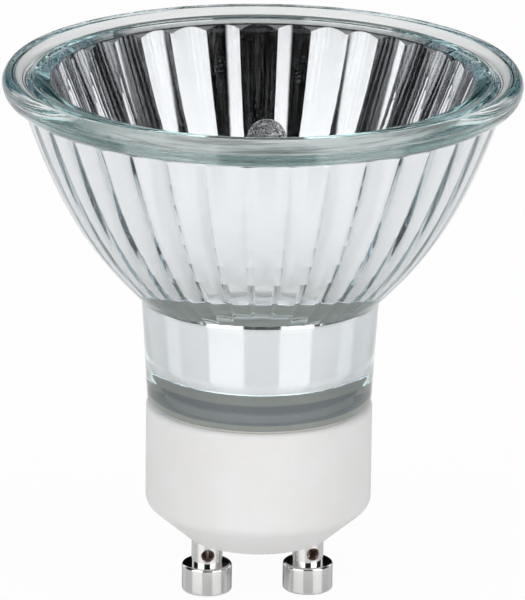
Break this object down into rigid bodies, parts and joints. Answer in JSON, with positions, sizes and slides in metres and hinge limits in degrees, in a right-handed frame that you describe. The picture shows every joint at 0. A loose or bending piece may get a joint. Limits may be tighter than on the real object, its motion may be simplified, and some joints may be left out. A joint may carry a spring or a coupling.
{
  "type": "gu10 spotlight bulb",
  "caption": "Mains halogen spotlight bulb with a fluted glass reflector, flat front glass, white ceramic cap and twist-lock contact pins.",
  "frame": {"origin": "on the axis, in the plane of the pin tips", "axes": "+Z along the axis from the pins to the front glass, X along the line of the pins"},
  "size_m": [0.0504, 0.0504, 0.0533],
  "materials": {
    "reflector_glass": "pressed clear glass, aluminised inside the bowl",
    "mirror_film": "evaporated aluminium film",
    "cover_glass": "clear flat glass",
    "clear_adhesive": "clear glue",
    "quartz": "clear quartz",
    "ceramic": "matt white steatite",
    "cement": "rough grey cement",
    "nickel_plate": "bright nickel plate",
    "lead_wire": "drawn wire",
    "foil": "rolled foil",
    "fuse_metal": "drawn wire",
    "tungsten": "drawn tungsten"
  },
  "bodies": {
    "root": {"base_cement": "cement", "capsule_glass": "quartz", "ceramic_base": "ceramic", "contact_pin_left": "nickel_plate", "contact_pin_right": "nickel_plate", "cover_adhesive": "clear_adhesive", "cover_glass": "cover_glass", "filament": "tungsten", "filament_hook": "tungsten", "fuse_wire": "fuse_metal", "inner_lead_left": "lead_wire", "inner_lead_right": "lead_wire", "outer_lead_left": "lead_wire", "outer_lead_right": "lead_wire", "pin_lead_right": "lead_wire", "reflector": "reflector_glass", "seal_foil_left": "foil", "seal_foil_right": "foil"}
  },
  "joints": []
}
